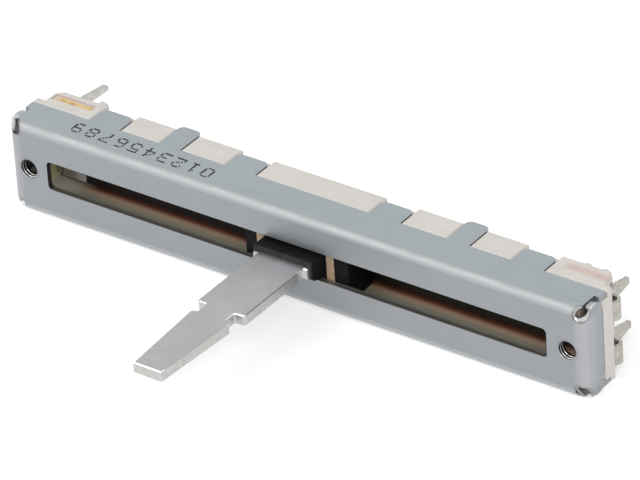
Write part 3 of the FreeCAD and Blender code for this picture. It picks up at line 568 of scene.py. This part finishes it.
def dark_moulding(name, dark, light, smooth, rough, sheen=0.5, highlight_to=None):
    """Moulded plastic with a faint cloud and a fine matt grain, and a painted highlight in front of a given line
    near its front edge.
    """
    material, tree, shader = new_finish(name)
    clouds = grain(tree, 1.5 * MM, 2.0)
    fine = grain(tree, 0.12 * MM, 3.0)
    colour = tint(tree, ramp(tree, clouds, 0.35, 0.65), dark, light)
    if highlight_to is not None:
        # Painted highlight along the front edge.
        nose = below(tree, split(tree, place_on(tree))[1], highlight_to, 0.12 * MM)
        edge_highlight = both(tree, nose, ramp(tree, clouds, 0.3, 0.6, 0.4, 1.0))
        colour = tint(tree, edge_highlight, colour, (0.042, 0.042, 0.044))
    set_surface(tree, shader, colour, ramp(tree, fine, 0.3, 0.7, smooth, rough), Specular_IOR_Level=sheen)
    relief(tree, shader, fine, 0.004 * MM, 0.5)
    return material


# Line near the front of the carriage, in front of which a highlight is painted.
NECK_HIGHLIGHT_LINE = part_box("carriage")[0].y + 0.3 * MM
CARBON = printed_film("carbon_track", (0.009, 0.009, 0.009), (0.018, 0.017, 0.016), 0.0, 0.35, 0.5)
SILVER = printed_film("silver_track", (0.36, 0.36, 0.34), (0.52, 0.51, 0.48), 0.8, 0.38, 0.52)
TINNED = drawn_metal("tinned_strip", (0.37, 0.36, 0.32), (0.52, 0.51, 0.46), 0.28, 0.45, light_inside_loop=True)
# The tinned finish again, painted paler as painted light for the long collector pins.
LIT_TINNED_PIN = drawn_metal("tinned_long_pin_painted_lit", (0.47, 0.46, 0.43), (0.60, 0.585, 0.56), 0.28, 0.45)
RIVET = drawn_metal("rivet_metal", (0.45, 0.36, 0.2), (0.6, 0.5, 0.3), 0.25, 0.4)
SPRUNG = drawn_metal("sprung_strip", (0.52, 0.40, 0.2), (0.7, 0.57, 0.33), 0.2, 0.32)
NECK = dark_moulding(
    "black_moulding", (0.006, 0.0055, 0.006), (0.010, 0.0095, 0.0105), 0.48, 0.6, 0.1, highlight_to=NECK_HIGHLIGHT_LINE)
HOLDER = dark_moulding("holder_moulding", (0.01, 0.01, 0.01), (0.02, 0.018, 0.016), 0.4, 0.55, 0.3)
GLIDE = dark_moulding("tan_glide", (0.36, 0.25, 0.155), (0.5, 0.37, 0.25), 0.35, 0.5)

# The first ending that fits the name of a node gives its finish.
FINISHES = (
    ("metal_cover", plated_steel()),
    ("moulded_body", moulded_white()),
    ("phenolic_board", phenolic_paper()),
    ("resistive_track", CARBON),
    ("collector_track", SILVER),
    ("silver_pad", pad_film()),
    ("collector_terminal", LIT_TINNED_PIN),
    ("terminal", TINNED),
    ("collector_rivets", RIVET),
    ("carriage", NECK),
    ("lever", lever_metal()),
    ("glide_strip", GLIDE),
    ("wiper_holder", HOLDER),
    ("wiper", SPRUNG),
)
for node_name, piece in NODES.items():
    piece.data.materials.clear()
    piece.data.materials.append(next(finish for ending, finish in FINISHES if node_name.endswith(ending)))


def settle(piece, finish, body):
    """Give a new piece its finish, put its place into its mesh, and let it ride on its body."""
    piece.data.materials.clear()
    piece.data.materials.append(finish)
    bpy.ops.object.select_all(action="DESELECT")
    piece.select_set(True)
    bpy.context.view_layer.objects.active = piece
    bpy.ops.object.transform_apply(location=True, rotation=True, scale=True)
    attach(piece, body)


# Cut threads of the two mounting holes

THREAD_PITCH = 0.45 * MM
THREAD_TURNS = 2
THREAD_STEPS = 40
THREAD_START = 0.22 * MM
RIDGE = 0.13 * MM


def thread_metal():
    """Cut metal of the threads, with painted shade above and a painted highlight below."""
    material, tree, shader = new_finish("cut_thread")
    x, _, z = split(tree, place_on(tree))
    clouds = grain(tree, 0.5 * MM, 3.0)
    # Painted light and shade: darker towards the upper left of each hole, brighter towards the lower right.
    aside = sums(tree, "SUBTRACT", x, sums(tree, "MULTIPLY", sums(tree, "SIGN", x), HOLE_X))
    down = sums(tree, "SUBTRACT", sums(tree, "MULTIPLY", aside, 0.6), sums(tree, "MULTIPLY", z, 0.8))
    colour = shades(tree, uneven(tree, down, clouds, 0.8 * MM), -1.3 * MM, 1.3 * MM, (
        (0.0, (0.16, 0.158, 0.15)), (0.4, (0.34, 0.335, 0.32)), (0.7, (0.74, 0.73, 0.71)),
        (1.0, (0.80, 0.79, 0.77))))
    set_surface(tree, shader, colour, ramp(tree, clouds, 0.3, 0.7, 0.2, 0.32), Metallic=0.95)
    relief(tree, shader, clouds, 0.002 * MM, 0.5)
    return material


def cut_thread(name, hole_x, finish):
    """One helical ridge, closed at both ends, that stands on the wall of a bore along Y."""
    bpy.ops.object.select_all(action="DESELECT")
    bpy.ops.mesh.primitive_circle_add(vertices=4, radius=RIDGE, fill_type="NOTHING")
    piece = bpy.context.object
    piece.name = name
    bpy.ops.object.mode_set(mode="EDIT")
    bpy.ops.mesh.select_all(action="SELECT")
    bpy.ops.transform.translate(value=(BORE + 0.01 * MM, THREAD_START, 0.0))
    bpy.ops.object.mode_set(mode="OBJECT")
    turn = piece.modifiers.new("turns", "SCREW")
    turn.axis = "Y"
    turn.screw_offset = THREAD_PITCH
    turn.iterations = THREAD_TURNS
    turn.steps = THREAD_STEPS
    turn.render_steps = THREAD_STEPS
    turn.use_smooth_shade = True
    bpy.ops.object.modifier_apply(modifier=turn.name)
    bpy.ops.object.mode_set(mode="EDIT")
    bpy.ops.mesh.select_all(action="DESELECT")
    bpy.ops.mesh.select_mode(type="EDGE")
    bpy.ops.mesh.select_non_manifold(extend=False)
    bpy.ops.mesh.edge_face_add()
    bpy.ops.mesh.select_all(action="SELECT")
    bpy.ops.mesh.normals_make_consistent(inside=False)
    bpy.ops.object.mode_set(mode="OBJECT")
    piece.location = (hole_x, 0.0, 0.0)
    settle(piece, finish, "housing")


thread_finish = thread_metal()
for side_name, side in (("left", -1), ("right", 1)):
    cut_thread(f"{side_name}_thread", side * HOLE_X, thread_finish)


# Bright funnel edges of the four corner holes, open towards the slit of each corner

FUNNEL_TILT = math.radians(35.6)
FUNNEL_START = math.radians(-57.0)
FUNNEL_SWEEP = math.radians(295.0)
FUNNEL_STEPS = 44
FUNNEL_DEPTH = 2.31 * MM
FUNNEL_REACH = 0.93 * MM
FUNNEL_TOP = -0.2 * MM
FUNNEL_LIP = -0.35 * MM
FUNNEL_BASE = -0.5 * MM
OPENING_SHIFT = -0.08 * MM
OPENING_STRETCH = (0.8, 1.25, 1.0)
COVER_INSET = 0.06 * MM
LEFT_OPENING = 0.12 * MM
RIGHT_OPENING = 0.62 * MM


def punched_edge():
    """Punched edge with painted light and shade: at the upper right a highlight growing brighter towards the lower
    right, at the upper left a lavender highlight with a dark strip of shade on its inner side, and darker below.
    """
    material, tree, shader = new_finish("punched_edge")
    clouds = grain(tree, 0.5 * MM, 3.0)
    x, _, z = split(tree, place_on(tree))
    mottle = ramp(tree, clouds, 0.3, 0.7)
    # Painted highlight at the upper right, brighter towards the lower right.
    low_side = ramp(tree, sums(tree, "SUBTRACT", x, z), 36.1 * MM, 37.2 * MM)
    shiny = tint(tree, low_side, (0.40, 0.40, 0.40), (0.62, 0.61, 0.60))
    shiny = tint(tree, ramp(tree, clouds, 0.4, 0.6, 0.0, 0.5), shiny, (0.33, 0.33, 0.33))
    # Painted shade on the lower corner holes.
    dull = tint(tree, mottle, (0.26, 0.265, 0.27), (0.34, 0.345, 0.355))
    # Painted lavender highlight at the upper left, with a strip of painted shade on its inner side.
    lavender = tint(tree, mottle, (0.48, 0.475, 0.505), (0.56, 0.555, 0.585))
    lavender = tint(tree, above(tree, x, -SLIT_X, 0.12 * MM), lavender, (0.09, 0.085, 0.09))
    colour = tint(tree, above(tree, z, 0.0), dull, tint(tree, above(tree, x, 0.0), lavender, shiny))
    set_surface(tree, shader, colour, ramp(tree, clouds, 0.3, 0.7, 0.2, 0.34), Metallic=0.95)
    relief(tree, shader, clouds, 0.003 * MM, 0.5)
    return material


def spun_funnel(name, opening):
    """A four-sided outline spun round most of the hole, closed at both ends, with an oval opening."""
    bpy.ops.object.select_all(action="DESELECT")
    bpy.ops.mesh.primitive_plane_add(size=1.0)
    piece = bpy.context.object
    piece.name = name
    outline = (
        (FUNNEL_REACH, FUNNEL_TOP), (opening, FUNNEL_LIP), (opening, FUNNEL_BASE), (FUNNEL_REACH, FUNNEL_BASE))
    corners_in_turn = (0, 2, 3, 1)
    for corner, (reach, height) in zip(corners_in_turn, outline):
        piece.data.vertices[corner].co = (reach * math.sin(FUNNEL_START), -reach * math.cos(FUNNEL_START), height)
    bpy.ops.object.mode_set(mode="EDIT")
    bpy.ops.mesh.select_all(action="SELECT")
    bpy.ops.mesh.spin(steps=FUNNEL_STEPS, angle=FUNNEL_SWEEP, center=(0.0, 0.0, 0.0), axis=(0.0, 0.0, 1.0))
    bpy.ops.object.mode_set(mode="OBJECT")

    middle = (opening + FUNNEL_REACH) / 2.0
    points = piece.data.vertices
    for point in points:
        point.select = math.hypot(point.co.x, point.co.y) < middle
    for edge in piece.data.edges:
        edge.select = all(points[end].select for end in edge.vertices)
    for face in piece.data.polygons:
        face.select = all(points[end].select for end in face.vertices)
    bpy.ops.object.mode_set(mode="EDIT")
    bpy.ops.transform.resize(value=OPENING_STRETCH, center_override=(0.0, 0.0, 0.0))
    bpy.ops.transform.translate(value=(OPENING_SHIFT, 0.0, 0.0))
    bpy.ops.mesh.select_all(action="SELECT")
    slope_stretch = (1.0, 1.0 / math.cos(FUNNEL_TILT), 1.0)
    bpy.ops.transform.resize(value=slope_stretch, center_override=(0.0, 0.0, 0.0))
    bpy.ops.object.mode_set(mode="OBJECT")
    return piece


def corner_funnel(name, side, level, opening, finish):
    """Thin funnel set into a corner hole, leaning towards its slit, and cut off just inside the cover."""
    piece = spun_funnel(name, opening)
    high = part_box("metal_cover")[1]
    inward = Vector((-side, 1.0, -level)).normalized()
    to_slit = Vector((side, 2.0, level)).normalized()
    across = Vector((side, 0.0, -level)).normalized()
    deeper = inward * math.cos(FUNNEL_TILT) + to_slit * math.sin(FUNNEL_TILT)
    up_slope = to_slit * math.cos(FUNNEL_TILT) - inward * math.sin(FUNNEL_TILT)
    start = Vector((side * (high.x + CORNER_OUT), -2.0 * CORNER_OUT, level * (high.z + CORNER_OUT)))
    place = Matrix((across, -up_slope, -deeper)).transposed().to_4x4()
    place.translation = start + inward * FUNNEL_DEPTH
    piece.matrix_world = place
    settle(piece, finish, "housing")
    bpy.ops.object.mode_set(mode="EDIT")
    for outward, reach in (((side, 0.0, 0.0), high.x), ((0.0, 0.0, level), high.z)):
        cut = Vector(outward) * (reach - COVER_INSET)
        bpy.ops.mesh.select_all(action="SELECT")
        bpy.ops.mesh.bisect(plane_co=cut, plane_no=outward, use_fill=True, clear_outer=True, threshold=1e-7)
    bpy.ops.mesh.select_all(action="SELECT")
    bpy.ops.mesh.normals_make_consistent(inside=False)
    bpy.ops.object.mode_set(mode="OBJECT")


punched_finish = punched_edge()
for side_name, side, opening in (("left", -1.0, LEFT_OPENING), ("right", 1.0, RIGHT_OPENING)):
    for level_name, level in (("lower", -1.0), ("upper", 1.0)):
        corner_funnel(f"{level_name}_{side_name}_corner_funnel", side, level, opening, punched_finish)


# Printed digits on the upper flange, made of small round dots

DOT_ROWS = {
    "0": ("01110", "10001", "10001", "10001", "10001", "10001", "01110"),
    "1": ("00100", "01100", "00100", "00100", "00100", "00100", "01110"),
    "2": ("01110", "10001", "00001", "00110", "01000", "10000", "11111"),
    "3": ("11110", "00001", "00001", "01110", "00001", "00001", "11110"),
    "4": ("00010", "00110", "01010", "10010", "11111", "00010", "00010"),
    "5": ("11111", "10000", "11110", "00001", "00001", "10001", "01110"),
    "6": ("01110", "10000", "10000", "11110", "10001", "10001", "01110"),
    "7": ("11111", "00001", "00010", "00100", "01000", "01000", "01000"),
    "8": ("01110", "10001", "10001", "01110", "10001", "10001", "01110"),
    "9": ("01110", "10001", "10001", "01111", "00001", "00001", "01110"),
}
PRINTED = "0123456789"
DOT_PITCH = 0.30 * MM
DOT_RADIUS = 0.158 * MM
DOT_HEIGHT = 0.012 * MM
DOT_SUNK = 0.005 * MM
DOT_SHIFT = 0.012 * MM
DOT_SWELL = 0.1
DIGIT_STEP = 2.22 * MM
PRINT_START = Vector((-13.2 * MM, 1.5 * MM, 6.4 * MM))
PRINT_TURN = math.radians(179.0)


def ink():
    """Matt black marking ink, a little thin in places."""
    material, tree, shader = new_finish("marking_ink")
    patch = grain(tree, 0.2 * MM, 3.0)
    colour = tint(tree, ramp(tree, patch, 0.4, 0.7), (0.006, 0.007, 0.010), (0.024, 0.027, 0.032))
    set_surface(tree, shader, colour, ramp(tree, patch, 0.3, 0.7, 0.4, 0.6), Specular_IOR_Level=0.15)
    relief(tree, shader, patch, 0.002 * MM, 0.4)
    return material


def ink_dot():
    """One dot: a flat disc whose upper rim is drawn in."""
    bpy.ops.object.select_all(action="DESELECT")
    bpy.ops.mesh.primitive_cylinder_add(vertices=12, radius=DOT_RADIUS, depth=DOT_HEIGHT, location=(0.0, 0.0, 0.0))
    dot = bpy.context.object
    bpy.ops.object.mode_set(mode="EDIT")
    bpy.ops.mesh.select_mode(type="FACE")
    bpy.ops.mesh.select_all(action="DESELECT")
    bpy.ops.object.mode_set(mode="OBJECT")
    for face in dot.data.polygons:
        face.select = face.normal.z > 0.9
    bpy.ops.object.mode_set(mode="EDIT")
    bpy.ops.mesh.inset(thickness=0.03 * MM, depth=0.004 * MM)
    bpy.ops.object.mode_set(mode="OBJECT")
    return dot


def dot_places():
    """Place of every dot along the row of digits, counted from the first one."""
    for place, digit in enumerate(PRINTED):
        for row, marks in enumerate(DOT_ROWS[digit]):
            for column, mark in enumerate(marks):
                if mark == "1":
                    yield place * DIGIT_STEP + column * DOT_PITCH, -row * DOT_PITCH


def print_digits():
    """Digits as the marking head leaves them: rows of dots, a little uneven in size."""
    dot = ink_dot()
    turned = Matrix.Translation(PRINT_START) @ Matrix.Rotation(PRINT_TURN, 4, "Z")
    dots = []
    for along, down in dot_places():
        wobble = math.sin(12.9898 * len(dots) + 4.1)
        copy = dot.copy()
        copy.data = dot.data.copy()
        bpy.context.collection.objects.link(copy)
        spot = Vector((along, down + DOT_SHIFT * wobble, -DOT_SUNK))
        copy.matrix_world = turned @ Matrix.Translation(spot) @ Matrix.Scale(1.0 + DOT_SWELL * wobble, 4)
        dots.append(copy)
    bpy.data.objects.remove(dot)
    for copy in dots:
        copy.select_set(True)
    bpy.context.view_layer.objects.active = dots[0]
    bpy.ops.object.join()
    piece = bpy.context.object
    piece.name = "printed_digits"
    settle(piece, ink(), "housing")


print_digits()


# Floor, light and room

FLOOR_GLOW = 0.36
ROOM_LIGHT = 0.62
WHITE = (1.0, 1.0, 1.0, 1.0)


def seen_directly(tree):
    """Rays that show the white surroundings as they are: to the camera, off a gloss or through glass."""
    path = add(tree, "ShaderNodeLightPath")
    return either(
        tree, path.outputs["Is Camera Ray"], path.outputs["Is Glossy Ray"], path.outputs["Is Transmission Ray"])


def pale_floor():
    """White sweep: seen as white, and still darker where the part shades it."""
    material = bpy.data.materials.new("white_sweep")
    material.use_nodes = True
    tree = material.node_tree
    tree.nodes.clear()
    cloth = add(tree, "ShaderNodeBsdfDiffuse", {"Color": (0.82, 0.82, 0.82, 1.0)})
    glow = add(tree, "ShaderNodeEmission", {"Color": WHITE})
    tree.links.new(sums(tree, "MULTIPLY", seen_directly(tree), FLOOR_GLOW), glow.inputs["Strength"])
    joined = add(tree, "ShaderNodeAddShader")
    tree.links.new(cloth.outputs[0], joined.inputs[0])
    tree.links.new(glow.outputs[0], joined.inputs[1])
    out = add(tree, "ShaderNodeOutputMaterial")
    tree.links.new(joined.outputs[0], out.inputs["Surface"])
    return material


def soft_box(name, place, size, power):
    """A square soft light that points at the middle of the cover."""
    lamp = bpy.data.lights.new(name, "AREA")
    lamp.shape = "SQUARE"
    lamp.size = size
    lamp.energy = power
    holder = bpy.data.objects.new(name, lamp)
    holder.location = place
    holder.rotation_euler = (-Vector(place)).to_track_quat("-Z", "Y").to_euler()
    bpy.context.collection.objects.link(holder)


def white_room():
    """Even light from all round, seen as white."""
    world = bpy.data.worlds.new("studio")
    bpy.context.scene.world = world
    world.use_nodes = True
    tree = world.node_tree
    tree.nodes.clear()
    room = add(tree, "ShaderNodeBackground", {"Color": WHITE})
    tree.links.new(ramp(tree, seen_directly(tree), 0.0, 1.0, ROOM_LIGHT, 1.0), room.inputs["Strength"])
    out = add(tree, "ShaderNodeOutputWorld")
    tree.links.new(room.outputs[0], out.inputs["Surface"])


bpy.ops.object.select_all(action="DESELECT")
bpy.ops.mesh.primitive_plane_add(size=6.0, location=(0.0, 0.0, cad_low.z))
floor = bpy.context.object
floor.name = "floor"
floor.data.materials.append(pale_floor())
soft_box("right_soft_box", (0.45, -0.50, 0.62), 0.45, 3.0)
soft_box("left_soft_box", (-0.42, -0.44, 0.55), 0.50, 1.8)
white_room()


# Camera, as the photograph sees the part

CAMERA_PLACE = Vector((411.549, -527.940, 427.598)) * MM
CAMERA_RIGHT = Vector((0.81250, 0.58011, -0.05759))
CAMERA_UP = Vector((-0.27264, 0.46547, 0.84203))
CAMERA_BACK = Vector((0.51527, -0.66845, 0.53635))
FOCAL_PIXELS = 6590.0
PICTURE_PIXELS = 640.0
SENSOR = 36.0

lens = bpy.data.cameras.new("photo_camera")
lens.sensor_fit = "HORIZONTAL"
lens.sensor_width = SENSOR
lens.lens = FOCAL_PIXELS / PICTURE_PIXELS * SENSOR
lens.clip_start = 0.05
lens.clip_end = 20.0
camera = bpy.data.objects.new("photo_camera", lens)
bpy.context.collection.objects.link(camera)
turn = Matrix((CAMERA_RIGHT, CAMERA_UP, CAMERA_BACK)).transposed().to_4x4()
camera.matrix_world = Matrix.Translation(CAMERA_PLACE) @ turn
bpy.context.scene.camera = camera
bpy.context.scene.view_settings.view_transform = "Standard"
